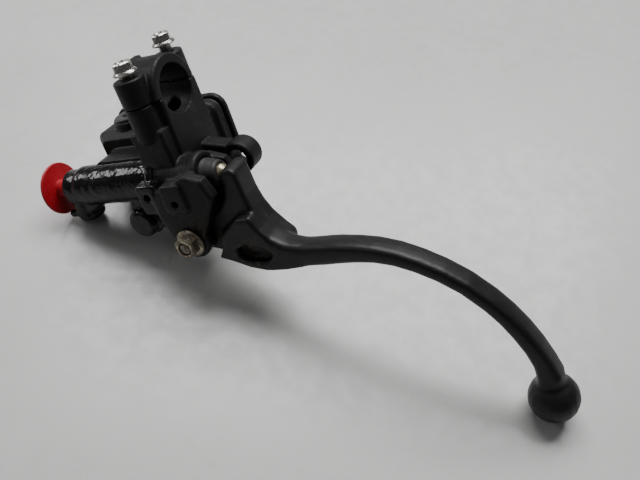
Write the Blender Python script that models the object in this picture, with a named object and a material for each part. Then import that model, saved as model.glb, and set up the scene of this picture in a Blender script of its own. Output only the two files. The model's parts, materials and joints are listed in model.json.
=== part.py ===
"""Front brake master cylinder with lever, handlebar clamp and integral reservoir, at rest on a table.

Everything is laid out in millimetres in the frame of the handlebar: x runs along the bar towards its
end, y goes up through the reservoir and z points to the rider. RESTING turns and lifts that frame so
that the port boss, the reservoir cap and the lever ball stand on the table.
"""

import math

import bmesh
import bpy
from mathutils import Matrix, Vector

MM = 0.001
GAP = 0.3
WELD = 0.0005
FINE = 32
COARSE = 20

BAR_RADIUS = 11.1
CLAMP_WIDTH = 20.0
CLAMP_ARCH = 15.6
CLAMP_BOLT_X = -9.8
CLAMP_BOLT_Y = 15.8
CLAMP_COLUMN = 7.0
CLAMP_CAP_TOP = 12.3
CLAMP_BODY_TOP = -GAP
CLAMP_FOOT = -34.0
M6 = 3.0
BOLT_HEAD_LIFTS = {-1: 2.2, 1: 3.6}
BOLT_LENGTH = 30.0
BOLT_FLANGE = 5.6
BOLT_HEAD = 4.4

CYL_Y = -14.0
CYL_Z = -36.5
BARREL = 9.8
BARREL_LEFT = -65.0
BARREL_RIGHT = 9.0
BORE = 5.6
BORE_END = -60.0
PORT_RADIUS = 5.0
PORT_PASSAGE = 2.2
BOOT_RECESS = 7.4
BOOT_RECESS_DEPTH = 9.0

PIVOT_X = -2.7
PIVOT_Z = -62.8
PIVOT_EAR = 9.2
EAR_NEAR = (-29.2, -22.5)
EAR_FAR = (-8.5, -2.2)
LEVER_HUB = (-22.2, -8.8)
LEVER_BLADE = (-28.0, -16.0)
LEVER_Y = -22.0
BUSH = 4.6
BALL_X = 144.2
BALL_Z = -154.9
BALL = 11.3

RES_LEFT = -64.0
RES_RIGHT = 1.0
RES_FRONT = -48.6
RES_BACK = -15.5
RES_FLOOR = 1.0
RES_TOP = 24.0
RES_WALL = 3.6
RES_CORNER = 6.4
RIM = 1.2
CAP_THICK = 3.6
CAP_SCREWS = (-57.5, -5.5)
CAP_SCREW_Z = -32.05
CAP_SCREW = 2.0

MIRROR_X = 17.0
MIRROR_Z = -37.8
MIRROR_BOSS = 8.0
MIRROR_HOLE = 4.6
MIRROR_LOW = 0.0
MIRROR_HIGH = 10.5

GLASS_X = -43.0
GLASS_Y = 13.0

PLUG_DISC = 13.0
PLUG_X = -81.6

RESTING_UP = Vector((0.4309, -0.2697, 0.8611)).normalized()


def clear_scene():
    for obj in list(bpy.data.objects):
        bpy.data.objects.remove(obj)


def object_of(name, mesh_maker):
    mesh = bpy.data.meshes.new(name)
    mesh_maker.normal_update()
    bmesh.ops.recalc_face_normals(mesh_maker, faces=mesh_maker.faces)
    mesh_maker.to_mesh(mesh)
    mesh_maker.free()
    obj = bpy.data.objects.new(name, mesh)
    bpy.context.scene.collection.objects.link(obj)
    return obj


def place(axis, along, across, other):
    """A point from its position along an axis and the two coordinates across it."""
    if axis == "x":
        return Vector((along, across, other))
    if axis == "y":
        return Vector((across, along, other))
    return Vector((across, other, along))


def loft(name, rings):
    """One closed body through rings of equally many points."""
    maker = bmesh.new()
    rows = [[maker.verts.new(point) for point in ring] for ring in rings]
    count = len(rows[0])
    for low, high in zip(rows, rows[1:]):
        for i in range(count):
            j = (i + 1) % count
            maker.faces.new((low[i], low[j], high[j], high[i]))
    maker.faces.new(rows[0][::-1])
    maker.faces.new(rows[-1])
    return object_of(name, maker)


def circle(axis, along, centre, radius, segments, turn=0.0):
    points = []
    for i in range(segments):
        angle = turn + 2 * math.pi * i / segments
        across = centre[0] + radius * math.cos(angle)
        other = centre[1] + radius * math.sin(angle)
        points.append(place(axis, along, across, other))
    return points


def turned(name, axis, centre, profile, segments=FINE, turn=0.0):
    """A solid of revolution: profile is a list of (along, radius), from one end to the other."""
    rings = [circle(axis, along, centre, radius, segments, turn) for along, radius in profile]
    return loft(name, rings)


def rod(name, axis, centre, start, end, radius, chamfer=0.0, segments=FINE):
    if not chamfer:
        return turned(name, axis, centre, [(start, radius), (end, radius)], segments)
    profile = [
        (start, radius - chamfer),
        (start + chamfer, radius),
        (end - chamfer, radius),
        (end, radius - chamfer),
    ]
    return turned(name, axis, centre, profile, segments)


def ring_body(name, axis, centre, profile, segments=FINE):
    """A closed ring: profile is the (along, radius) loop of its section."""
    maker = bmesh.new()
    rows = []
    for i in range(segments):
        angle = 2 * math.pi * i / segments
        row = []
        for along, radius in profile:
            across = centre[0] + radius * math.cos(angle)
            other = centre[1] + radius * math.sin(angle)
            row.append(maker.verts.new(place(axis, along, across, other)))
        rows.append(row)
    count = len(profile)
    for i in range(segments):
        this, after = rows[i], rows[(i + 1) % segments]
        for j in range(count):
            k = (j + 1) % count
            maker.faces.new((this[j], after[j], after[k], this[k]))
    return object_of(name, maker)


def slab(name, axis, outline, start, end, chamfer=0.0):
    """A flat plate with the given outline, its two rims chamfered."""
    if not chamfer:
        levels = [(start, 0.0), (end, 0.0)]
    else:
        levels = [(start, chamfer), (start + chamfer, 0.0), (end - chamfer, 0.0), (end, chamfer)]
    rings = []
    for along, inset in levels:
        rings.append([place(axis, along, a, b) for a, b in shrunk(outline, inset)])
    return loft(name, rings)


def shrunk(outline, inset):
    """The outline moved inwards by the same distance all round."""
    if not inset:
        return outline
    area = sum(a[0] * b[1] - b[0] * a[1] for a, b in zip(outline, outline[1:] + outline[:1]))
    side = 1 if area > 0 else -1
    moved = []
    count = len(outline)
    for i in range(count):
        here = Vector(outline[i])
        before = (here - Vector(outline[i - 1])).normalized()
        after = (Vector(outline[(i + 1) % count]) - here).normalized()
        normal = Vector((-(before.y + after.y), before.x + after.x)).normalized() * side
        cosine = max(0.5, abs(normal.dot(Vector((-before.y, before.x)))))
        moved.append(tuple(here + normal * inset / cosine))
    return moved


def rounded_box(low, high, corner, steps=4):
    """Outline of a rectangle with round corners, counterclockwise."""
    points = []
    centres = (
        (high[0] - corner, low[1] + corner, -90),
        (high[0] - corner, high[1] - corner, 0),
        (low[0] + corner, high[1] - corner, 90),
        (low[0] + corner, low[1] + corner, 180),
    )
    for x, y, start in centres:
        for i in range(steps + 1):
            angle = math.radians(start + 90 * i / steps)
            points.append((x + corner * math.cos(angle), y + corner * math.sin(angle)))
    return points


def arc(centre, radius, start, end, steps):
    """Points on a circular arc, angles in degrees."""
    points = []
    for i in range(steps + 1):
        angle = math.radians(start + (end - start) * i / steps)
        points.append((centre[0] + radius * math.cos(angle), centre[1] + radius * math.sin(angle)))
    return points


def cleaned(mesh):
    """Flat triangles only, with doubled points welded, so that the next Boolean starts from a sound mesh."""
    maker = bmesh.new()
    maker.from_mesh(mesh)
    bmesh.ops.remove_doubles(maker, verts=maker.verts, dist=WELD)
    bmesh.ops.dissolve_degenerate(maker, edges=maker.edges, dist=WELD)
    bmesh.ops.triangulate(maker, faces=maker.faces)
    maker.to_mesh(mesh)
    maker.free()
    return mesh


def combine(base, others, operation):
    for other in others:
        boolean = base.modifiers.new("combine", "BOOLEAN")
        boolean.operation = operation
        boolean.solver = "EXACT"
        boolean.object = other
        graph = bpy.context.evaluated_depsgraph_get()
        mesh = bpy.data.meshes.new_from_object(base.evaluated_get(graph))
        base.modifiers.clear()
        base.data = cleaned(mesh)
        bpy.data.objects.remove(other)
    return base


def join(base, *others):
    return combine(base, others, "UNION")


def cut(base, *others):
    return combine(base, others, "DIFFERENCE")


def barrel():
    outline = [
        (BARREL_LEFT, BARREL - 1.2),
        (BARREL_LEFT + 1.2, BARREL),
        (-18.6, BARREL),
        (-18.0, BARREL + 0.8),
        (-14.4, BARREL + 0.8),
        (-13.8, BARREL),
        (4.6, BARREL),
        (5.2, BARREL + 0.7),
        (BARREL_RIGHT - 0.8, BARREL + 0.7),
        (BARREL_RIGHT, BARREL - 0.1),
    ]
    return turned("barrel", "x", (CYL_Y, CYL_Z), outline, FINE, 0.03)


def port_boss():
    """The hose end of the casting, with the foot and peg that stop the hose union from turning."""
    head = turned(
        "port_head",
        "x",
        (CYL_Y, CYL_Z),
        [(-73.2, 7.6), (-72.3, 8.6), (-66.0, 8.6), (-62.5, BARREL - 0.6)],
        FINE,
        0.07,
    )
    foot = turned(
        "port_foot",
        "z",
        (-70.7, -13.0),
        [(-54.0857, 5.8), (-53.3, 6.6), (-51.6, 7.0), (-38.0, 7.0)],
        COARSE,
    )
    fin = slab("port_fin", "y", [(-70.0, -42.0), (-66.0, -51.0), (-54.0, -45.4), (-52.0, -40.0)], -19.0, -11.0, 1.5)
    stop = rod("stop_peg", "x", (-17.6, -49.4), -79.2, -68.0, 2.0, 0.6, COARSE)
    return join(head, foot, fin, stop)


def clamp_body():
    arch = [(-13.4, CLAMP_BODY_TOP), (-14.2, -27.0), (-9.0, CLAMP_FOOT), (1.0, CLAMP_FOOT)]
    arch += [(16.6, CLAMP_FOOT), (16.2, CLAMP_BODY_TOP)]
    block = slab("clamp_block", "x", arch, -CLAMP_WIDTH, 0.0, 0.8)
    web = slab(
        "clamp_web",
        "y",
        [(-19.2, -12.0), (-1.4, -12.0), (-1.4, -29.0), (-19.2, -29.0)],
        -20.5,
        -9.0,
        0.9,
    )
    pieces = [web]
    for side in (-1, 1):
        centre = (CLAMP_BOLT_X, side * CLAMP_BOLT_Y)
        bottom = -17.5 if side < 0 else -24.0
        pieces.append(
            turned(
                "column",
                "z",
                centre,
                [(bottom, CLAMP_COLUMN - 2.4), (bottom + 2.4, CLAMP_COLUMN), (CLAMP_BODY_TOP, CLAMP_COLUMN)],
            )
        )
    return join(block, *pieces)


def ear_outline():
    points = [(-15.4, -38.0), (-14.8, -52.0)]
    points += arc((PIVOT_X, PIVOT_Z), PIVOT_EAR, 172, 378, 14)
    points += [(15.6, -46.0), (18.0, -42.0), (15.0, -33.0), (6.0, -30.0)]
    return points


def lever_bracket():
    near = slab("ear_near", "y", ear_outline(), *EAR_NEAR, 1.1)
    far = slab("ear_far", "y", ear_outline(), *EAR_FAR, 1.1)
    boss = rod("ear_boss", "y", (PIVOT_X, PIVOT_Z), EAR_FAR[0], EAR_FAR[1] + 0.6, 7.4, 0.5)
    bridge = slab(
        "ear_bridge",
        "y",
        [(-15.0, -40.0), (-14.4, -50.5), (-9.5, -52.5), (-2.0, -49.5), (1.0, -40.0)],
        EAR_NEAR[0] + 2.0,
        EAR_FAR[1] - 1.5,
    )
    return join(near, far, boss, bridge)


def switch_tabs():
    """Two lugs under the barrel for the brake light switch."""
    left = slab(
        "tab_left",
        "y",
        rounded_box((-22.5, -48.0), (-11.5, -33.0), 2.0, 3),
        -28.6,
        CYL_Y,
        0.8,
    )
    right = slab(
        "tab_right",
        "y",
        rounded_box((-7.6, -47.5), (4.6, -33.2), 2.0, 3),
        -30.6,
        CYL_Y,
        0.8,
    )
    foot = turned("switch_foot", "y", (-31.5, -55.0), [(-25.0, 5.8), (-23.6, 7.2), (-12.0, 7.2)])
    brace = slab("switch_brace", "y", [(-38.0, -52.0), (-27.0, -62.0), (-10.0, -52.0), (-14.0, -40.0), (-34.0, -40.0)], -21.5, -12.5, 0.8)
    return join(left, right, foot, brace)


def reservoir_shell():
    low = (RES_LEFT, RES_FRONT)
    high = (RES_RIGHT, RES_BACK)
    wide = rounded_box(low, high, RES_CORNER)
    narrow = rounded_box((low[0] + 2.0, low[1] + 2.0), (high[0] - 2.0, high[1] - 2.0), RES_CORNER - 2.0)
    base = rounded_box((low[0] + 7.0, low[1] + 6.0), (high[0] - 6.0, high[1] - 5.0), RES_CORNER - 3.0)
    rings = []
    for along, outline in (
        (RES_FLOOR - 1.0, base),
        (RES_FLOOR + 4.0, narrow),
        (RES_TOP - 6.0, narrow),
        (RES_TOP - 4.0, wide),
        (RES_TOP, wide),
    ):
        rings.append([place("y", along, a, b) for a, b in outline])
    shell = loft("reservoir", rings)
    neck = slab(
        "reservoir_neck",
        "y",
        rounded_box((-54.0, -48.0), (-6.0, -25.0), 5.0),
        CYL_Y,
        RES_FLOOR + 1.0,
    )
    return join(shell, neck)


def glass_boss():
    return rod("glass_boss", "z", (GLASS_X, GLASS_Y), -24.0, RES_BACK + 1.4, 9.6, 0.6)


def mirror_boss():
    boss = rod("mirror", "y", (MIRROR_X, MIRROR_Z), MIRROR_LOW, MIRROR_HIGH, MIRROR_BOSS, 0.8)
    web = slab(
        "mirror_web",
        "y",
        [(-6.0, -27.0), (-6.0, -50.0), (11.0, -45.0), (19.0, -43.0), (19.0, -32.5), (11.0, -30.5)],
        MIRROR_LOW + 0.6,
        MIRROR_HIGH - 0.9,
        0.8,
    )
    return join(boss, web)


def reservoir_room():
    """The space for the fluid, with pillars left standing for the cap screws."""
    inset = RES_WALL
    low = (RES_LEFT + 2.0 + inset, RES_FRONT + 2.0 + inset)
    high = (RES_RIGHT - 2.0 - inset, RES_BACK - 2.0 - inset)
    room = slab("room", "y", rounded_box(low, high, RES_CORNER - 4.0), RES_FLOOR + 4.0, RES_TOP + 1.0)
    pillars = []
    for x in CAP_SCREWS:
        pillars.append(rod("pillar", "y", (x, CAP_SCREW_Z), RES_FLOOR, RES_TOP + 2.0, 4.6, 0.0, COARSE))
    return cut(room, *pillars)


def body_holes():
    holes = [
        rod("bar", "x", (0.0, 0.0), -CLAMP_WIDTH - 2.0, 2.0, BAR_RADIUS, 0.0, 48),
        rod("bore", "x", (CYL_Y, CYL_Z), BORE_END, BARREL_RIGHT + 3.0, BORE),
        rod("recess", "x", (CYL_Y, CYL_Z), BARREL_RIGHT - BOOT_RECESS_DEPTH, BARREL_RIGHT + 14.0, BOOT_RECESS),
        rod("passage", "x", (CYL_Y, CYL_Z), -73.0, BORE_END + 1.0, PORT_PASSAGE, 0.0, COARSE),
        rod("port", "x", (CYL_Y, CYL_Z), -84.0, -68.8, PORT_RADIUS),
        rod("saddle_pocket", "z", (-9.4, 5.2), -18.0, -6.0, 3.7, 0.0, COARSE),
        rod("mirror_hole", "y", (MIRROR_X, MIRROR_Z), MIRROR_LOW - 2.0, MIRROR_HIGH + 2.0, MIRROR_HOLE),
        rod("pivot_hole", "y", (PIVOT_X, PIVOT_Z), EAR_NEAR[0] - 2.0, EAR_FAR[1] + 3.0, M6 + GAP, 0.0, COARSE),
        rod("switch_left", "y", (-17.0, -39.0), -32.0, -19.0, 1.7, 0.0, COARSE),
        rod("switch_right", "y", (-1.6, -42.4), -33.0, -24.4, 1.7, 0.0, COARSE),
        rod("glass_seat", "z", (GLASS_X, GLASS_Y), -28.0, RES_BACK + 4.0, 7.2, 0.0),
        rod("fill_port", "y", (-36.0, CYL_Z), CYL_Y, RES_FLOOR + 6.0, 1.6, 0.0, COARSE),
        rod("bleed_port", "y", (-47.0, CYL_Z), CYL_Y, RES_FLOOR + 6.0, 0.8, 0.0, COARSE),
        reservoir_room(),
    ]
    for side in (-1, 1):
        holes.append(
            rod("tapped", "z", (CLAMP_BOLT_X, side * CLAMP_BOLT_Y), -22.0, 2.0, M6 + GAP, 0.0, COARSE)
        )
    for x in CAP_SCREWS:
        holes.append(
            rod("screw_hole", "y", (x, CAP_SCREW_Z), RES_TOP - 11.0, RES_TOP + 2.0, CAP_SCREW + GAP, 0.0, COARSE)
        )
    slot = slab(
        "lever_slot",
        "y",
        [(-16.5, -52.8), (-9.0, -53.5), (3.5, -47.6), (BARREL_RIGHT, -44.4), (BARREL_RIGHT, -20.0)]
        + [(40.0, -20.0), (40.0, -80.0), (-30.0, -80.0)],
        EAR_NEAR[1],
        EAR_FAR[0],
    )
    end_trim = slab(
        "end_trim",
        "y",
        [(BARREL_RIGHT, -20.0), (40.0, -20.0), (40.0, -48.0), (BARREL_RIGHT, -48.0)],
        EAR_NEAR[1] - 0.1,
        EAR_FAR[0] + 0.1,
    )
    return holes + [slot, end_trim]


def make_body():
    body = barrel()
    join(body, port_boss(), clamp_body(), lever_bracket(), switch_tabs())
    join(body, reservoir_shell(), glass_boss(), mirror_boss())
    cut(body, *body_holes())
    body.name = "master_cylinder_body"
    return body


def make_clamp_cap():
    outline = [(-CLAMP_ARCH, 0.0)] + arc((0.0, 0.0), CLAMP_ARCH, 172, 8, 16) + [(CLAMP_ARCH, 0.0)]
    cap = slab("clamp_cap", "x", outline, -CLAMP_WIDTH, 0.0, 0.8)
    others = []
    for side in (-1, 1):
        centre = (CLAMP_BOLT_X, side * CLAMP_BOLT_Y)
        others.append(rod("cap_column", "z", centre, 0.1, CLAMP_CAP_TOP, CLAMP_COLUMN, 0.6))
    ridge = slab(
        "cap_ridge",
        "x",
        [(-6.0, 10.0), (6.0, 10.0), (5.0, 16.1), (-5.0, 16.1)],
        -CLAMP_WIDTH + 0.5,
        -CLAMP_WIDTH + 4.5,
        0.6,
    )
    join(cap, *others, ridge)
    holes = [rod("bar", "x", (0.0, 0.0), -CLAMP_WIDTH - 2.0, 2.0, BAR_RADIUS, 0.0, 48)]
    for side in (-1, 1):
        centre = (CLAMP_BOLT_X, side * CLAMP_BOLT_Y)
        holes.append(rod("clear", "z", centre, -2.0, CLAMP_CAP_TOP + 8.0, M6 + GAP, 0.0, COARSE))
        holes.append(rod("spot", "z", centre, CLAMP_CAP_TOP, CLAMP_CAP_TOP + 8.0, CLAMP_COLUMN - 0.4))
    return cut(cap, *holes)


def make_clamp_bolt(name, side):
    centre = (CLAMP_BOLT_X, side * CLAMP_BOLT_Y)
    seat = CLAMP_CAP_TOP + BOLT_HEAD_LIFTS[side]
    profile = [
        (seat - BOLT_LENGTH, M6 - 0.6),
        (seat - BOLT_LENGTH + 0.8, M6),
        (seat + 0.1, M6),
    ]
    shank = turned("shank", "z", centre, profile, COARSE)
    flange = turned("flange", "z", centre, [(seat, BOLT_FLANGE - 0.2), (seat + 0.5, BOLT_FLANGE), (seat + 1.4, 4.8)])
    head = turned("head", "z", centre, [(seat + 0.8, BOLT_HEAD), (seat + 4.6, BOLT_HEAD), (seat + 5.2, 3.6)], 6)
    bolt = join(shank, flange, head)
    dimple = turned("dimple", "z", centre, [(seat + 4.4, 2.0), (seat + 6.4, 3.2)], COARSE)
    cut(bolt, dimple)
    bolt.name = name
    return bolt


def make_reservoir_cap():
    low = (RES_LEFT - 1.4, RES_FRONT - 1.4)
    high = (RES_RIGHT + 1.4, RES_BACK + 1.4)
    under = RES_TOP + RIM + 2 * GAP
    cap = slab("reservoir_cap", "y", rounded_box(low, high, RES_CORNER + 1.0), under, under + CAP_THICK, 0.8)
    panel = slab(
        "panel",
        "y",
        rounded_box((RES_LEFT + 13.0, RES_FRONT + 5.0), (RES_RIGHT - 13.0, RES_BACK - 5.0), 4.0),
        under + CAP_THICK - 0.3,
        under + CAP_THICK + 0.9,
        0.5,
    )
    join(cap, panel)
    holes = []
    for x in CAP_SCREWS:
        centre = (x, CAP_SCREW_Z)
        holes.append(rod("clear", "y", centre, under - 1.0, under + 8.0, CAP_SCREW + GAP, 0.0, COARSE))
        profile = [(under + CAP_THICK - 2.2, CAP_SCREW + GAP), (under + CAP_THICK + 0.2, 4.6)]
        holes.append(turned("sink", "y", centre, profile, COARSE))
    return cut(cap, *holes)


def make_cap_screw(name, x):
    top = RES_TOP + RIM + 2 * GAP + CAP_THICK
    centre = (x, CAP_SCREW_Z)
    profile = [
        (top - 14.0, CAP_SCREW - 0.4),
        (top - 13.4, CAP_SCREW),
        (top - 2.2 + GAP, CAP_SCREW),
        (top - 0.1, 3.9),
        (top + 0.2, 3.7),
    ]
    screw = turned("screw", "y", centre, profile, COARSE)
    for turn in (0.0, math.pi / 2):
        outline = rounded_box((x - 2.2, CAP_SCREW_Z - 0.5), (x + 2.2, CAP_SCREW_Z + 0.5), 0.2, 1)
        spun = []
        for a, b in outline:
            da, db = a - x, b - CAP_SCREW_Z
            spun.append((x + da * math.cos(turn) - db * math.sin(turn), CAP_SCREW_Z + da * math.sin(turn) + db * math.cos(turn)))
        cut(screw, slab("cross", "y", spun, top - 1.4, top + 1.0))
    screw.name = name
    return screw


def make_diaphragm():
    """Rubber bellows: a rim on the reservoir edge and a folded pocket hanging into the fluid."""
    rim_low = RES_TOP + GAP
    rim = slab(
        "diaphragm",
        "y",
        rounded_box((RES_LEFT + 0.4, RES_FRONT + 0.4), (RES_RIGHT - 0.4, RES_BACK - 0.4), RES_CORNER - 0.4),
        rim_low,
        rim_low + RIM,
    )
    low = (RES_LEFT + 13.0, RES_FRONT + 7.4)
    high = (RES_RIGHT - 13.0, RES_BACK - 7.4)
    rings = []
    for along, inset in ((rim_low + 0.5, 0.0), (20.6, 0.2), (19.8, 1.4), (19.0, 0.2), (16.0, 0.4), (15.2, 1.6), (14.4, 0.6), (10.6, 1.0)):
        outline = rounded_box((low[0] + inset, low[1] + inset), (high[0] - inset, high[1] - inset), 4.0)
        rings.append([place("y", along, a, b) for a, b in outline])
    bag = loft("bag", rings)
    join(rim, bag)
    rings = []
    for along, inset in ((rim_low + RIM + 1.0, 1.0), (20.6, 1.2), (19.8, 2.4), (19.0, 1.2), (16.0, 1.4), (15.2, 2.6), (14.4, 1.6), (11.6, 2.0)):
        outline = rounded_box((low[0] + inset, low[1] + inset), (high[0] - inset, high[1] - inset), 3.2)
        rings.append([place("y", along, a, b) for a, b in outline])
    cut(rim, loft("hollow", rings))
    for x in CAP_SCREWS:
        cut(rim, rod("clear", "y", (x, CAP_SCREW_Z), rim_low - 1.0, rim_low + 4.0, CAP_SCREW + 2 * GAP, 0.0, COARSE))
    return rim


def make_diaphragm_plate():
    """Plastic plate that spreads the cap's pressure; it hangs in the mouth of the diaphragm."""
    low = (RES_LEFT + 14.4, RES_FRONT + 8.8)
    high = (RES_RIGHT - 14.4, RES_BACK - 8.8)
    plate = slab("diaphragm_plate", "y", rounded_box(low, high, 2.8), RES_TOP - 1.6, RES_TOP + RIM + GAP, 0.3)
    slot = slab(
        "slot",
        "y",
        rounded_box((low[0] + 5.0, low[1] + 5.0), (high[0] - 5.0, high[1] - 5.0), 2.0),
        RES_TOP - 0.4,
        RES_TOP + 6.0,
    )
    return cut(plate, slot)


def make_baffle():
    """Small plate over the two ports in the floor, so the fluid doesn't squirt up."""
    outline = rounded_box((-50.0, CYL_Z - 5.0), (-33.0, CYL_Z + 5.0), 1.5)
    floor = RES_FLOOR + 4.0
    plate = slab("port_baffle", "y", outline, floor + GAP, floor + 2.0)
    tunnel = slab("tunnel", "y", rounded_box((-49.0, CYL_Z - 3.0), (-34.0, CYL_Z + 3.0), 0.8), floor - 1.0, floor + 1.1)
    side = slab("side", "x", [(floor, CYL_Z - 1.5), (floor + 1.1, CYL_Z - 1.5), (floor + 1.1, CYL_Z + 8.0), (floor, CYL_Z + 8.0)], -42.0, -40.0)
    return cut(plate, tunnel, side)


def make_sight_glass():
    lens_back = -22.4
    lens = turned("sight_glass", "z", (GLASS_X, GLASS_Y), [(lens_back, 6.6), (-16.6, 6.6), (-16.0, 6.0)])
    return lens


def make_glass_ring():
    face = RES_BACK + 1.4 + GAP
    section = [(-15.7, 3.9), (-15.7, 7.0), (face, 7.0), (face, 8.8), (face + 1.0, 8.4), (face + 1.0, 4.4)]
    return ring_body("sight_glass_ring", "z", (GLASS_X, GLASS_Y), section)


def blade_ring(centre, tangent, thick, width, count=16):
    """Section of the lever blade: flat towards the rider, round towards the fingers."""
    normal = Vector((-tangent[1], tangent[0])).normalized()
    points = []
    for i in range(count):
        angle = 2 * math.pi * i / count
        across = math.cos(angle)
        depth = math.sin(angle)
        power = 0.5 if depth > 0 else 0.8
        side = math.copysign(abs(across) ** power, across)
        out = math.copysign(abs(depth) ** power, depth)
        x = centre[0] + normal.x * out * thick / 2
        z = centre[1] + normal.y * out * thick / 2
        points.append(Vector((x, LEVER_Y + side * width / 2, z)))
    return points


BLADE = (
    (43.0, -75.2, 12.8, 12.0),
    (50.0, -75.2, 12.4, 12.0),
    (58.0, -75.1, 11.8, 12.0),
    (67.0, -74.8, 11.0, 12.0),
    (75.5, -75.0, 10.0, 12.0),
    (83.1, -75.8, 9.2, 12.0),
    (91.6, -78.0, 8.5, 12.0),
    (100.3, -81.8, 8.0, 12.0),
    (108.9, -86.8, 7.7, 12.0),
    (117.6, -93.4, 7.6, 12.0),
    (126.0, -102.2, 7.8, 12.0),
    (131.4, -109.4, 8.0, 12.0),
    (136.0, -117.2, 8.4, 12.0),
    (140.1, -125.8, 8.8, 11.8),
    (143.0, -134.2, 9.6, 11.4),
    (144.4, -141.5, 11.4, 12.0),
)


def make_blade():
    rings = []
    for i, (x, z, thick, width) in enumerate(BLADE):
        before = BLADE[max(i - 1, 0)]
        after = BLADE[min(i + 1, len(BLADE) - 1)]
        tangent = (after[0] - before[0], after[1] - before[1])
        rings.append(blade_ring((x, z), tangent, thick, width))
    for share in (0.82, 0.6, 0.35, 0.1, -0.15, -0.4, -0.62, -0.8, -0.93, -0.995):
        radius = BALL * math.sqrt(1 - share * share)
        centre = (BALL_X, BALL_Z + BALL * share)
        ring = []
        for i in range(16):
            angle = 2 * math.pi * i / 16
            ring.append(
                Vector((centre[0] + radius * math.sin(angle), LEVER_Y + radius * math.cos(angle), centre[1]))
            )
        rings.append(ring)
    return loft("blade", rings)


def arm_outline():
    """The part of the lever between the ears, with the cam that pushes the piston."""
    points = arc((PIVOT_X, PIVOT_Z), 9.0, 60, 290, 14)
    points += [(13.7, -75.0), (21.8, -79.0), (30.0, -80.6), (40.0, -80.6), (42.0, -70.0), (37.0, -65.0)]
    points += [(33.0, -59.6), (30.4, -53.4), (29.0, -46.5), (28.6, -38.0)]
    points += arc((24.2, -36.4), 4.4, 20, 200, 8)
    points += [(18.4, -45.0), (12.0, -51.6)]
    return points


def shoulder_outline():
    """The part of the lever outside the ears, where the blade begins."""
    points = arc((PIVOT_X, PIVOT_Z), 14.4, -48, 2, 6)
    points += [(18.2, -57.8), (23.6, -53.8), (30.4, -53.4), (33.4, -59.4), (37.4, -64.8), (42.4, -68.0), (49.0, -69.2)]
    points += [(49.0, -80.6), (40.0, -81.6), (30.0, -81.4), (21.8, -79.4), (13.7, -75.6)]
    return points


def make_lever():
    lever = slab("lever", "y", arm_outline(), *LEVER_HUB, 0.9)
    join(lever, slab("shoulder", "y", shoulder_outline(), *LEVER_BLADE, 1.0), make_blade())
    pocket = slab(
        "pocket",
        "y",
        [(18.5, -69.0), (24.0, -67.0), (33.0, -69.6), (36.0, -73.0), (32.5, -76.6), (24.0, -76.0), (19.0, -73.4)],
        LEVER_BLADE[0] - 2.0,
        LEVER_BLADE[0] + 4.5,
    )
    hole = rod("bush_hole", "y", (PIVOT_X, PIVOT_Z), LEVER_HUB[0] - 2.0, LEVER_HUB[1] + 2.0, BUSH + GAP)
    return cut(lever, pocket, hole)


def make_bush():
    low = LEVER_HUB[0] + 0.1
    high = LEVER_HUB[1] - 0.1
    section = [(low, M6 + GAP), (low, BUSH), (high, BUSH), (high, M6 + GAP)]
    return ring_body("pivot_bushing", "y", (PIVOT_X, PIVOT_Z), section, COARSE)


def make_pivot_bolt():
    centre = (PIVOT_X, PIVOT_Z)
    seat = EAR_FAR[1] + 0.6 + GAP
    shank = rod("shank", "y", centre, -35.2, seat + 0.5, M6, 0.5, COARSE)
    head = turned("pan", "y", centre, [(seat, 6.0), (seat + 1.6, 6.0), (seat + 2.6, 4.8)])
    bolt = join(shank, head)
    slot = slab(
        "slot",
        "y",
        rounded_box((PIVOT_X - 7.0, PIVOT_Z - 0.7), (PIVOT_X + 7.0, PIVOT_Z + 0.7), 0.2, 1),
        seat + 1.4,
        seat + 5.0,
    )
    cut(bolt, slot)
    bolt.name = "pivot_bolt"
    return bolt


def make_pivot_nut():
    centre = (PIVOT_X, PIVOT_Z)
    seat = EAR_NEAR[0] - GAP
    flange = turned("flange", "y", centre, [(seat - 1.9, 5.6), (seat - 1.0, 7.0), (seat, 7.0)])
    hexagon = turned("hexagon", "y", centre, [(seat - 6.0, 4.9), (seat - 5.3, 5.7), (seat - 0.6, 5.7)], 6, math.pi / 6)
    nut = join(flange, hexagon)
    cut(nut, rod("thread", "y", centre, seat - 8.0, seat + 2.0, M6 + GAP, 0.0, COARSE))
    nut.name = "pivot_nut"
    return nut


PISTON_TIP = 19.4


def make_piston():
    """Plunger with a groove for each cup and a shoulder that the circlip holds in."""
    profile = [
        (-34.0, 2.0),
        (-30.0, 2.0),
        (-30.0, 5.2),
        (-27.4, 5.2),
        (-26.4, 4.0),
        (-9.0, 4.0),
        (-8.0, 5.2),
        (-6.0, 5.2),
        (-6.0, 3.4),
        (-2.6, 3.4),
        (-2.6, 5.2),
        (1.2, 5.2),
        (1.8, 3.8),
        (PISTON_TIP - 1.6, 3.8),
        (PISTON_TIP, 2.2),
    ]
    return turned("piston", "x", (CYL_Y, CYL_Z), profile)


def make_cup(name, back, lip):
    """Rubber seal with its lip towards the pressure."""
    inner = (2.0 if name == "primary_cup" else 3.4) + GAP * 0.5
    section = [
        (back, inner),
        (back, 5.1),
        (lip + 0.8, 5.35),
        (lip, 5.35),
        (lip, 4.6),
        (back - 1.2, 4.0),
        (back - 1.2, inner),
    ]
    return ring_body(name, "x", (CYL_Y, CYL_Z), section)


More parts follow.
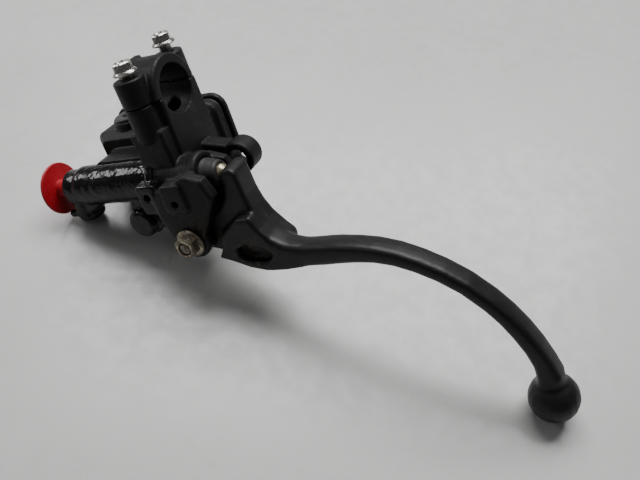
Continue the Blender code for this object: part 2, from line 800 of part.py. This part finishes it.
def make_return_spring():
    """Conical coil between the end of the bore and the primary cup."""
    wire = 0.45
    turns = 6.5
    left = BORE_END + wire + 0.1
    right = -34.6
    steps = int(turns * 14)
    rings = []
    for i in range(steps + 1):
        share = i / steps
        angle = 2 * math.pi * turns * share
        radius = 4.6 - 1.6 * share
        along = left + (right - left) * share
        centre = Vector((along, CYL_Y + radius * math.cos(angle), CYL_Z + radius * math.sin(angle)))
        outward = Vector((0.0, math.cos(angle), math.sin(angle)))
        ring = []
        for k in range(6):
            bend = 2 * math.pi * k / 6
            ring.append(centre + outward * wire * math.cos(bend) + Vector((wire * math.sin(bend), 0.0, 0.0)))
        rings.append(ring)
    return loft("return_spring", rings)


def make_circlip():
    low = 2.2
    section = [(low, 5.9), (low, 7.0), (low + 1.0, 7.0), (low + 1.0, 5.9)]
    ring = ring_body("circlip", "x", (CYL_Y, CYL_Z), section)
    gap = slab(
        "gap",
        "x",
        [(CYL_Y - 1.6, CYL_Z), (CYL_Y + 1.6, CYL_Z), (CYL_Y + 1.6, CYL_Z + 9.0), (CYL_Y - 1.6, CYL_Z + 9.0)],
        low - 1.0,
        low + 3.0,
    )
    return cut(ring, gap)


def make_dust_boot():
    """Rubber bellows between the mouth of the barrel and the groove near the piston's tip."""
    section = [
        (4.6, 5.0),
        (4.6, 7.0),
        (10.0, 7.0),
        (11.2, 6.0),
        (12.4, 6.6),
        (13.6, 5.4),
        (14.8, 6.0),
        (16.6, 5.2),
        (16.6, 4.1),
        (14.8, 4.8),
        (13.6, 4.3),
        (12.4, 5.4),
        (11.2, 4.9),
        (9.6, 5.6),
        (6.4, 5.0),
    ]
    return ring_body("dust_boot", "x", (CYL_Y, CYL_Z), section, 24)


def make_port_plug():
    """Push-in dust plug: a thin disc with a hollow stem in the hose port."""
    profile = [
        (PLUG_X - 1.0, PLUG_DISC - 0.3),
        (PLUG_X - 0.6, PLUG_DISC),
        (PLUG_X, PLUG_DISC),
        (PLUG_X + 0.4, PLUG_DISC - 0.4),
        (PLUG_X + 0.4, 4.6),
        (PLUG_X + 11.2, 4.4),
        (PLUG_X + 12.4, 3.8),
    ]
    plug = turned("port_plug", "x", (CYL_Y, CYL_Z), profile)
    return cut(plug, rod("hollow", "x", (CYL_Y, CYL_Z), PLUG_X - 3.0, PLUG_X + 11.2, 3.2, 0.0, COARSE))


def make_parts():
    parts = [
        make_body(),
        make_clamp_cap(),
        make_clamp_bolt("clamp_bolt_lower", -1),
        make_clamp_bolt("clamp_bolt_upper", 1),
        make_reservoir_cap(),
        make_cap_screw("cap_screw_left", CAP_SCREWS[0]),
        make_cap_screw("cap_screw_right", CAP_SCREWS[1]),
        make_diaphragm(),
        make_diaphragm_plate(),
        make_baffle(),
        make_sight_glass(),
        make_glass_ring(),
        make_lever(),
        make_bush(),
        make_pivot_bolt(),
        make_pivot_nut(),
        make_piston(),
        make_cup("primary_cup", -30.3, -33.4),
        make_cup("secondary_cup", -2.9, -5.7),
        make_return_spring(),
        make_circlip(),
        make_dust_boot(),
        make_port_plug(),
    ]
    return parts


def resting_matrix(parts):
    """Turns the handlebar frame so that the table's normal is up, then lifts it until it stands on the table."""
    up = RESTING_UP
    along = (Vector((1.0, 0.0, 0.0)) - up * up.x).normalized()
    turn = Matrix((along, up.cross(along), up))
    points = [turn @ vertex.co for part in parts for vertex in part.data.vertices]
    low = [min(point[k] for point in points) for k in range(3)]
    high = [max(point[k] for point in points) for k in range(3)]
    shift = Vector((-(low[0] + high[0]) / 2, -(low[1] + high[1]) / 2, -low[2]))
    return Matrix.Translation(shift) @ turn.to_4x4()


def main():
    clear_scene()
    parts = make_parts()
    rest = bpy.data.objects.new("resting", None)
    bpy.context.scene.collection.objects.link(rest)
    rest.matrix_world = Matrix.Scale(MM, 4) @ resting_matrix(parts)
    for part in parts:
        part.data.name = part.name
        part.parent = rest


main()
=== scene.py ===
"""Looks of the front brake master cylinder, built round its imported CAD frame.

Positions are given in millimetres in the frame of the handlebar, as in the CAD source: x runs along the
bar towards its end, y up through the reservoir and z to the rider. UNIT takes them to the frame's metres.
"""

import json
import math

import bmesh
import bpy
from mathutils import Matrix, Vector

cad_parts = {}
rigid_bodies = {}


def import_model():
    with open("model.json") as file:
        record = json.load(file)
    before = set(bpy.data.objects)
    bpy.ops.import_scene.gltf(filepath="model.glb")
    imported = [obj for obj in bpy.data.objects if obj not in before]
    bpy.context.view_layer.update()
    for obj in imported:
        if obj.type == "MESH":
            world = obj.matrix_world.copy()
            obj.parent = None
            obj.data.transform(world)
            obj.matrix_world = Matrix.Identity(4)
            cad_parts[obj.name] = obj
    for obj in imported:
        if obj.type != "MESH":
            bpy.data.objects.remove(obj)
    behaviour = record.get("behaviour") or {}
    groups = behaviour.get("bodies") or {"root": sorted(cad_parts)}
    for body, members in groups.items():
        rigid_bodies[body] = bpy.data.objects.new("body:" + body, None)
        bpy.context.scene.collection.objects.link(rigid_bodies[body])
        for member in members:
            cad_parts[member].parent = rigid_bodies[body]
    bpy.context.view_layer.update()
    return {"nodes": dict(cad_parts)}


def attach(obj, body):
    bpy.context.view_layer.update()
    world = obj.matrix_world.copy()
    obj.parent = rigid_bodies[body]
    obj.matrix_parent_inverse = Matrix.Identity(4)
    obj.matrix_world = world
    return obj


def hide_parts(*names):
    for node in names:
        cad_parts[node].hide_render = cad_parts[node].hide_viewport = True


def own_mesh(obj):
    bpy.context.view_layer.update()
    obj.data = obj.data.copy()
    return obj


MM = 0.001

UNIT_AXES = (
    (0.90239, 0.128796, -0.411222),
    (0.0, 0.954289, 0.298887),
    (0.43092, -0.269713, 0.86114),
)
UNIT_ORIGIN = Vector((-0.067706, 0.026601, 0.076502))
UNIT = Matrix.Translation(UNIT_ORIGIN) @ Matrix(UNIT_AXES).to_4x4() @ Matrix.Scale(MM, 4)

CAMERA_PLACE = (0.04896, -0.18894, 0.29685)
CAMERA_RIGHT = (0.96440, 0.26219, 0.03459)
CAMERA_UP = (-0.23299, 0.78046, 0.58017)
CAMERA_LENS = 40.19
SENSOR_WIDTH = 36.0
NEAR_CLIP = 0.01

FLOOR_REACH = 3.0
WORLD_LIGHT = 0.1

CLAMP_BOLTS = {"lower_bolt": (-9.8, -15.8, 14.5), "upper_bolt": (-9.8, 15.8, 15.9)}

THREAD_RADIUS = 3.05
THREAD_DEPTH = 0.3
THREAD_PITCH = 1.0
THREAD_BELOW_SEAT = 30.0
THREAD_ABOVE_SEAT = 0.2
THREAD_SIDES = 40
THREAD_ROWS_PER_TURN = 8

WELD_REACH = 0.002
SMOOTH_FACTOR = 0.5
BEVEL_WIDTH = 0.25
BEVEL_SEGMENTS = 2
BEVEL_ANGLE = math.radians(32.0)
SHARP_ANGLE = math.radians(35.0)
LEVER_SHOULDER = (46.0, -20.0, -72.0)
SHOULDER_REACH = 17.0
SHOULDER_ROUNDS = 90

GLOSS_BORDERS = {"Z": (-29.0, -22.0), "Y": (4.0, 12.0), "X": (-16.0, -6.0)}
BRACKET_GRIME = (4.0, -26.0, -58.0)
HUB_DIRT = (8.0, -26.0, -62.0)
POCKET_DIRT = (26.0, -25.0, -72.0)

DUST = (0.05, 0.048, 0.044)
GRIME = (0.06, 0.043, 0.027)
WORN_EDGE = (0.12, 0.118, 0.115)
SPECK = (0.12, 0.11, 0.1)
RUBBED = (0.035, 0.034, 0.033)
DIRT = (0.075, 0.054, 0.034)
SCUFF = (0.36, 0.36, 0.35)


class Look:
    """A procedural material whose patterns are laid out in millimetres in the handlebar's frame."""

    def __init__(self, name):
        self.material = bpy.data.materials.new(name)
        self.material.use_nodes = True
        self.tree = self.material.node_tree
        self.shader = self.tree.nodes["Principled BSDF"]
        self.place = self.unit_place()

    def node(self, kind):
        return self.tree.nodes.new(kind)

    def link(self, output, entry):
        self.tree.links.new(output, entry)

    def unit_place(self):
        coordinates = self.node("ShaderNodeTexCoord")
        mapping = self.node("ShaderNodeMapping")
        mapping.vector_type = "TEXTURE"
        mapping.inputs["Location"].default_value = UNIT_ORIGIN
        mapping.inputs["Rotation"].default_value = Matrix(UNIT_AXES).to_euler()
        mapping.inputs["Scale"].default_value = (MM, MM, MM)
        self.link(coordinates.outputs["Object"], mapping.inputs["Vector"])
        return mapping.outputs["Vector"]

    def fixed(self, **values):
        for name, value in values.items():
            entry = self.shader.inputs[name.replace("_", " ")]
            entry.default_value = (*value, 1.0) if isinstance(value, tuple) else value

    def noise(self, size, detail=4.0, rough=0.55, stretch=(1.0, 1.0, 1.0)):
        scaled = self.node("ShaderNodeVectorMath")
        scaled.operation = "MULTIPLY"
        scaled.inputs[1].default_value = stretch
        self.link(self.place, scaled.inputs[0])
        noise = self.node("ShaderNodeTexNoise")
        noise.inputs["Scale"].default_value = 1.0 / size
        noise.inputs["Detail"].default_value = detail
        noise.inputs["Roughness"].default_value = rough
        self.link(scaled.outputs[0], noise.inputs["Vector"])
        return noise.outputs["Fac"]

    def maths(self, operation, first, second=0.0):
        node = self.node("ShaderNodeMath")
        node.operation = operation
        for entry, value in zip(node.inputs, (first, second)):
            if isinstance(value, (int, float)):
                entry.default_value = value
            else:
                self.link(value, entry)
        return node.outputs[0]

    def span(self, value, low, high, start=0.0, end=1.0):
        """value taken from low..high to start..end, with soft ends."""
        node = self.node("ShaderNodeMapRange")
        node.interpolation_type = "SMOOTHSTEP"
        node.inputs["From Min"].default_value = low
        node.inputs["From Max"].default_value = high
        node.inputs["To Min"].default_value = start
        node.inputs["To Max"].default_value = end
        self.link(value, node.inputs["Value"])
        return node.outputs["Result"]

    def axis(self, name):
        split = self.node("ShaderNodeSeparateXYZ")
        self.link(self.place, split.inputs[0])
        return split.outputs[name]

    def near(self, centre, inner, outer, flatten=(1.0, 1.0, 1.0)):
        """1 within inner millimetres of centre, 0 beyond outer."""
        moved = self.node("ShaderNodeVectorMath")
        moved.operation = "SUBTRACT"
        moved.inputs[1].default_value = centre
        self.link(self.place, moved.inputs[0])
        shaped = self.node("ShaderNodeVectorMath")
        shaped.operation = "MULTIPLY"
        shaped.inputs[1].default_value = flatten
        self.link(moved.outputs[0], shaped.inputs[0])
        length = self.node("ShaderNodeVectorMath")
        length.operation = "LENGTH"
        self.link(shaped.outputs[0], length.inputs[0])
        return self.span(length.outputs["Value"], inner, outer, 1.0, 0.0)

    def blend(self, share, first, second):
        """A colour that goes from first to second as share goes from 0 to 1."""
        node = self.node("ShaderNodeMix")
        node.data_type = "RGBA"
        self.link(share, node.inputs["Factor"])
        for entry, value in zip((node.inputs["A"], node.inputs["B"]), (first, second)):
            self.colour(entry, value)
        return node.outputs["Result"]

    def colour(self, entry, value):
        if isinstance(value, tuple):
            entry.default_value = (*value, 1.0)
        else:
            self.link(value, entry)

    def edges(self, low=0.52, high=0.6):
        geometry = self.node("ShaderNodeNewGeometry")
        return self.span(geometry.outputs["Pointiness"], low, high)

    def bump(self, height, depth, strength=1.0, before=None):
        """Relief of this depth in millimetres, on top of the relief before it."""
        node = self.node("ShaderNodeBump")
        node.inputs["Distance"].default_value = depth * MM
        node.inputs["Strength"].default_value = strength
        self.link(height, node.inputs["Height"])
        if before is not None:
            self.link(before, node.inputs["Normal"])
        self.link(node.outputs["Normal"], self.shader.inputs["Normal"])
        return node.outputs["Normal"]

    def give(self, name, value):
        self.link(value, self.shader.inputs[name])


def gloss_share(look):
    """1 on the barrel's hose end and 0 on the rest of the casting, with soft borders."""
    below, low, hose_side = [look.span(look.axis(name), *GLOSS_BORDERS[name], 1.0, 0.0) for name in "ZYX"]
    return look.maths("MULTIPLY", look.maths("MULTIPLY", below, low), hose_side)


def casting_look():
    """Black paint on cast metal, dusty in places: thick, lumpy and glossy on the barrel, satin elsewhere."""
    look = Look("cast_black_paint")
    glossy = gloss_share(look)
    black = look.blend(look.noise(6.0), (0.004, 0.004, 0.0045), (0.011, 0.011, 0.0115))
    dust = look.span(look.noise(9.0, 6.0, 0.65), 0.52, 0.74, 0.0, 0.3)
    dusty = look.blend(dust, black, DUST)
    grimy_place = look.near(BRACKET_GRIME, 2.0, 13.0)
    grime = look.maths("MULTIPLY", grimy_place, look.span(look.noise(2.0), 0.42, 0.62))
    brown = look.blend(look.maths("MULTIPLY", grime, 0.55), dusty, GRIME)
    worn = look.maths("MULTIPLY", look.edges(0.55, 0.62), look.span(look.noise(2.2), 0.5, 0.66))
    worn_colour = look.blend(look.maths("MULTIPLY", worn, 0.35), brown, WORN_EDGE)
    specks = look.span(look.noise(0.9, 2.0), 0.68, 0.75, 0.0, 0.25)
    look.give("Base Color", look.blend(specks, worn_colour, SPECK))
    satin = look.span(look.noise(1.4), 0.3, 0.7, 0.46, 0.6)
    look.give("Roughness", look.maths("MULTIPLY", satin, look.span(glossy, 0.0, 1.0, 1.0, 0.3)))
    lumps = look.maths("MULTIPLY", look.noise(5.0, 2.0, 0.5), look.span(glossy, 0.0, 1.0, 0.15, 1.0))
    relief = look.bump(lumps, 1.5, 0.45)
    look.bump(look.noise(0.9, 3.0), 0.04, 0.5, relief)
    look.fixed(Specular_IOR_Level=0.24)
    return look.material


def satin_look(name):
    """Satin black paint with fine grain and faint rubbed patches."""
    look = Look(name)
    rubbed = look.span(look.noise(12.0, 5.0, 0.6), 0.48, 0.7, 0.0, 0.4)
    black = look.blend(look.noise(5.0), (0.006, 0.006, 0.006), (0.012, 0.012, 0.0125))
    rub_colour = look.blend(rubbed, black, RUBBED)
    worn = look.maths("MULTIPLY", look.edges(0.56, 0.64), look.span(look.noise(2.0), 0.52, 0.66, 0.0, 0.4))
    look.give("Base Color", look.blend(worn, rub_colour, (0.14, 0.138, 0.135)))
    look.give("Roughness", look.span(look.noise(3.0), 0.3, 0.7, 0.42, 0.54))
    look.bump(look.noise(0.45, 3.0), 0.05, 0.5)
    look.fixed(Specular_IOR_Level=0.24)
    return look.material


def lever_look():
    """Satin black paint, with brown dirt in the pocket beside the pivot."""
    look = Look("lever_black_paint")
    fine = look.noise(1.2, 4.0, 0.6, (0.25, 1.0, 1.0))
    black = look.blend(look.noise(7.0), (0.006, 0.006, 0.0063), (0.012, 0.012, 0.0124))
    hub = look.near(HUB_DIRT, 3.0, 10.0)
    pocket = look.near(POCKET_DIRT, 5.0, 12.0)
    here = look.maths("MAXIMUM", hub, pocket)
    dirt = look.maths("MULTIPLY", here, look.span(look.noise(2.2, 5.0), 0.44, 0.64, 0.0, 0.6))
    dirty = look.blend(dirt, black, DIRT)
    nicks = look.span(look.noise(1.1, 2.0), 0.71, 0.77, 0.0, 0.25)
    look.give("Base Color", look.blend(nicks, dirty, (0.14, 0.135, 0.13)))
    look.give("Roughness", look.span(fine, 0.3, 0.7, 0.36, 0.48))
    look.bump(look.noise(0.4, 3.0), 0.04, 0.45)
    look.fixed(Specular_IOR_Level=0.3)
    return look.material


def metal_look(name, base, stain, share, rough=(0.26, 0.46), size=1.6):
    """Plated or bare metal with stained patches."""
    look = Look(name)
    patches = look.span(look.noise(size, 5.0, 0.62), 0.62 - share * 0.4, 0.76 - share * 0.4)
    look.give("Base Color", look.blend(patches, base, stain))
    look.give("Roughness", look.span(look.noise(size * 0.6), 0.3, 0.7, *rough))
    look.give("Metallic", look.span(patches, 0.0, 1.0, 1.0, 0.35))
    look.bump(look.noise(0.6, 3.0), 0.025, 0.5)
    return look.material


def plain_look(name, dark, light, rough, size=3.0, relief=0.04, **fixed):
    """Rubber or plastic with a slight change of tone and a fine surface."""
    look = Look(name)
    look.give("Base Color", look.blend(look.noise(size), dark, light))
    look.give("Roughness", look.span(look.noise(size * 0.4), 0.3, 0.7, rough - 0.06, rough + 0.08))
    look.bump(look.noise(0.6, 3.0), relief, 0.5)
    look.fixed(**fixed)
    return look.material


def floor_look():
    """A pale, faintly clouded table top with small scuffs."""
    look = Look("table_top")
    cloud = look.noise(60.0, 4.0)
    base = look.blend(cloud, (0.48, 0.478, 0.469), (0.56, 0.558, 0.549))
    scuffs = look.span(look.noise(2.6, 6.0, 0.7), 0.66, 0.78)
    look.give("Base Color", look.blend(look.maths("MULTIPLY", scuffs, 0.35), base, SCUFF))
    look.give("Roughness", look.span(look.noise(8.0), 0.3, 0.7, 0.26, 0.38))
    return look.material


def mesh_piece(name, mesh, material, body, slot, *nodes):
    """A new piece of the object that rides on body and stands for the CAD nodes, if any are named."""
    piece = bpy.data.objects.new(name, mesh)
    bpy.context.scene.collection.objects.link(piece)
    mesh.materials.clear()
    mesh.materials.append(material)
    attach(piece, body)
    if nodes:
        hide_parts(*nodes)
    return piece


def helper_object(mesh):
    helper = bpy.data.objects.new("helper", mesh)
    bpy.context.scene.collection.objects.link(helper)
    return helper


def baked(helper):
    """The helper's mesh with its modifiers applied; the helper is removed."""
    graph = bpy.context.evaluated_depsgraph_get()
    mesh = bpy.data.meshes.new_from_object(helper.evaluated_get(graph))
    bpy.data.objects.remove(helper)
    return mesh


def smoothed(helper, name, rounds):
    smooth = helper.modifiers.new(name, "SMOOTH")
    smooth.factor = SMOOTH_FACTOR
    smooth.iterations = rounds
    return smooth


def melted(helper, centre, reach, rounds):
    """Smooths the helper further within reach millimetres of a place in the handlebar's frame."""
    group = helper.vertex_groups.new(name="melt")
    middle = UNIT @ Vector(centre)
    for vertex in helper.data.vertices:
        share = 1.0 - (vertex.co - middle).length / (reach * MM)
        if share > 0.0:
            group.add([vertex.index], min(1.0, 2.0 * share), "REPLACE")
    smoothed(helper, "melt", rounds).vertex_group = group.name


def cast_shape(source, voxel, rounds, keep, melt=None):
    """The shape of a CAD mesh with the rounded edges and fillets of a casting.

    melt is (centre, reach, rounds): a place in the handlebar's frame that is smoothed further.
    """
    mesh = source.copy()
    weld(mesh)
    helper = helper_object(mesh)
    remesh = helper.modifiers.new("remesh", "REMESH")
    remesh.mode = "VOXEL"
    remesh.voxel_size = voxel * MM
    helper = helper_object(baked(helper))
    smoothed(helper, "smooth", rounds)
    if melt:
        melted(helper, *melt)
    fewer = helper.modifiers.new("fewer", "DECIMATE")
    fewer.ratio = keep
    result = baked(helper)
    result.shade_smooth()
    return result


def weld(mesh):
    work = bmesh.new()
    work.from_mesh(mesh)
    bmesh.ops.remove_doubles(work, verts=work.verts, dist=WELD_REACH * MM)
    bmesh.ops.recalc_face_normals(work, faces=work.faces)
    work.to_mesh(mesh)
    work.free()


def softened(node, material):
    """A CAD node that stays, with narrow bevels and smooth shading."""
    node.data.materials.clear()
    node.data.materials.append(material)
    joined = node.modifiers.new("weld", "WELD")
    joined.merge_threshold = WELD_REACH * MM
    bevel = node.modifiers.new("bevel", "BEVEL")
    bevel.width = BEVEL_WIDTH * MM
    bevel.segments = BEVEL_SEGMENTS
    bevel.limit_method = "ANGLE"
    bevel.angle_limit = BEVEL_ANGLE
    node.data.shade_smooth()
    node.data.set_sharp_from_angle(angle=SHARP_ANGLE)


def thread_ring(work, centre, z):
    """The points round a threaded rod at height z."""
    ring = []
    for step in range(THREAD_SIDES):
        turn = step / THREAD_SIDES
        phase = (z / THREAD_PITCH - turn) % 1.0
        reach = THREAD_RADIUS - THREAD_DEPTH * abs(2.0 * phase - 1.0)
        angle = math.tau * turn
        spot = (centre[0] + reach * math.cos(angle), centre[1] + reach * math.sin(angle), z)
        ring.append(work.verts.new(UNIT @ Vector(spot)))
    return ring


def thread_mesh(name, centre, low, high):
    """A rod along the frame's z with a rolled thread on it."""
    work = bmesh.new()
    rows = int((high - low) / THREAD_PITCH * THREAD_ROWS_PER_TURN)
    rings = [thread_ring(work, centre, low + (high - low) * row / rows) for row in range(rows + 1)]
    for first, second in zip(rings, rings[1:]):
        for step in range(THREAD_SIDES):
            after = (step + 1) % THREAD_SIDES
            work.faces.new((first[step], first[after], second[after], second[step]))
    work.faces.new(list(reversed(rings[0])))
    work.faces.new(rings[-1])
    mesh = bpy.data.meshes.new(name)
    work.to_mesh(mesh)
    work.free()
    mesh.shade_smooth()
    return mesh


def make_castings(frame):
    casting = casting_look()
    satin = satin_look("satin_black_paint")
    nodes = frame["nodes"]
    body = cast_shape(nodes["master_cylinder_body"].data, voxel=0.5, rounds=3, keep=0.35)
    mesh_piece("casting_skin", body, casting, "casting", "gloss_black_casting", "master_cylinder_body")
    cap = cast_shape(nodes["clamp_cap"].data, voxel=0.4, rounds=3, keep=0.4)
    mesh_piece("clamp_cap_skin", cap, casting, "clamp", "satin_black_casting", "clamp_cap")
    lid = cast_shape(nodes["reservoir_cap"].data, voxel=0.4, rounds=3, keep=0.4)
    mesh_piece("reservoir_lid", lid, satin, "casting", "satin_black_casting", "reservoir_cap")
    shoulder = (LEVER_SHOULDER, SHOULDER_REACH, SHOULDER_ROUNDS)
    lever = cast_shape(nodes["lever"].data, voxel=0.6, rounds=14, keep=0.5, melt=shoulder)
    mesh_piece("lever_skin", lever, lever_look(), "lever", "satin_black_casting", "lever")


def make_folding(frame, node, name, material, slot):
    """A welded, smooth-shaded copy of a CAD node's mesh that takes the node's place on the casting."""
    mesh = frame["nodes"][node].data.copy()
    weld(mesh)
    mesh.shade_smooth()
    piece = mesh_piece(name, mesh, material, "casting", slot, node)
    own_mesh(piece)


def make_small_parts(frame):
    zinc = metal_look("zinc_plate", (0.4, 0.39, 0.365), (0.1, 0.085, 0.066), 0.26, (0.2, 0.32))
    rusty = metal_look("oxidised_zinc", (0.34, 0.3, 0.235), (0.12, 0.09, 0.058), 0.42, (0.26, 0.44), 2.6)
    steel = metal_look("bare_steel", (0.5, 0.5, 0.49), (0.2, 0.19, 0.17), 0.2)
    dull = metal_look("dull_zinc", (0.2, 0.18, 0.15), (0.07, 0.055, 0.04), 0.5, (0.35, 0.55))
    bronze = metal_look("sintered_bronze", (0.5, 0.34, 0.16), (0.2, 0.13, 0.07), 0.3)
    alloy = metal_look("anodised_alloy", (0.5, 0.45, 0.33), (0.16, 0.13, 0.09), 0.35)
    rubber = plain_look("black_rubber", (0.01, 0.01, 0.01), (0.022, 0.021, 0.02), 0.6)
    white = plain_look("white_plastic", (0.6, 0.59, 0.54), (0.7, 0.69, 0.65), 0.42)
    dark = plain_look("dark_plastic", (0.012, 0.012, 0.013), (0.02, 0.02, 0.02), 0.45)
    red = plain_look("red_plastic", (0.34, 0.001, 0.008), (0.39, 0.001, 0.01), 0.5, 6.0, 0.02)
    glass = plain_look(
        "sight_glass", (0.55, 0.5, 0.34), (0.62, 0.58, 0.42), 0.16, 3.0, 0.01, Transmission_Weight=0.7
    )
    finishes = {
        "clamp_bolt_lower": zinc,
        "clamp_bolt_upper": zinc,
        "cap_screw_left": zinc,
        "cap_screw_right": zinc,
        "pivot_bolt": dull,
        "pivot_nut": rusty,
        "diaphragm": rubber,
        "primary_cup": rubber,
        "secondary_cup": rubber,
        "diaphragm_plate": white,
        "port_baffle": steel,
        "circlip": steel,
        "sight_glass": glass,
        "sight_glass_ring": dark,
        "pivot_bushing": bronze,
        "piston": alloy,
        "port_plug": red,
    }
    for name, material in finishes.items():
        softened(frame["nodes"][name], material)
    make_folding(frame, "dust_boot", "dust_bellows", rubber, "black_rubber")
    make_folding(frame, "return_spring", "coil_spring", steel, "bare_steel")
    for body, (x, y, seat) in CLAMP_BOLTS.items():
        mesh = thread_mesh("thread", (x, y), seat - THREAD_BELOW_SEAT, seat + THREAD_ABOVE_SEAT)
        mesh_piece(body + "_thread", mesh, zinc, body, "zinc_plated_steel")


def make_stage():
    floor = bpy.data.meshes.new("floor")
    turns = ((-1.0, -1.0), (1.0, -1.0), (1.0, 1.0), (-1.0, 1.0))
    corners = [(x * FLOOR_REACH, y * FLOOR_REACH, 0.0) for x, y in turns]
    floor.from_pydata(corners, [], [(0, 1, 2, 3)])
    floor.materials.append(floor_look())
    table = bpy.data.objects.new("table", floor)
    bpy.context.scene.collection.objects.link(table)


def lamp(name, place, target, size, power):
    data = bpy.data.lights.new(name, "AREA")
    data.shape = "RECTANGLE"
    data.size = size[0]
    data.size_y = size[1]
    data.energy = power
    light = bpy.data.objects.new(name, data)
    bpy.context.scene.collection.objects.link(light)
    light.location = place
    light.rotation_euler = (Vector(target) - Vector(place)).to_track_quat("-Z", "Y").to_euler()


def make_lights():
    world = bpy.data.worlds.new("studio")
    world.use_nodes = True
    background = world.node_tree.nodes["Background"]
    background.inputs["Color"].default_value = (0.97, 0.98, 1.0, 1.0)
    background.inputs["Strength"].default_value = WORLD_LIGHT
    bpy.context.scene.world = world
    lamp("overhead", place=(-0.15, 0.85, 1.3), target=(0.0, 0.0, 0.0), size=(1.5, 0.8), power=40.0)
    lamp("fill", place=(-0.9, -0.5, 1.0), target=(0.0, 0.0, 0.0), size=(0.8, 0.8), power=0.9)
    lamp("window", place=(-1.2, 0.16, 0.46), target=(-0.09, 0.0, 0.04), size=(0.45, 0.2), power=3.5)


def make_camera():
    data = bpy.data.cameras.new("camera")
    data.lens = CAMERA_LENS
    data.sensor_width = SENSOR_WIDTH
    data.clip_start = NEAR_CLIP
    camera = bpy.data.objects.new("camera", data)
    right = Vector(CAMERA_RIGHT)
    up = Vector(CAMERA_UP)
    back = right.cross(up)
    turn = Matrix((right, up, back)).transposed()
    camera.matrix_world = Matrix.Translation(CAMERA_PLACE) @ turn.to_4x4()
    bpy.context.scene.collection.objects.link(camera)
    bpy.context.scene.camera = camera


def clear_scene():
    for thing in list(bpy.data.objects):
        bpy.data.objects.remove(thing)


clear_scene()
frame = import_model()
make_camera()
make_stage()
make_lights()
make_castings(frame)
make_small_parts(frame)
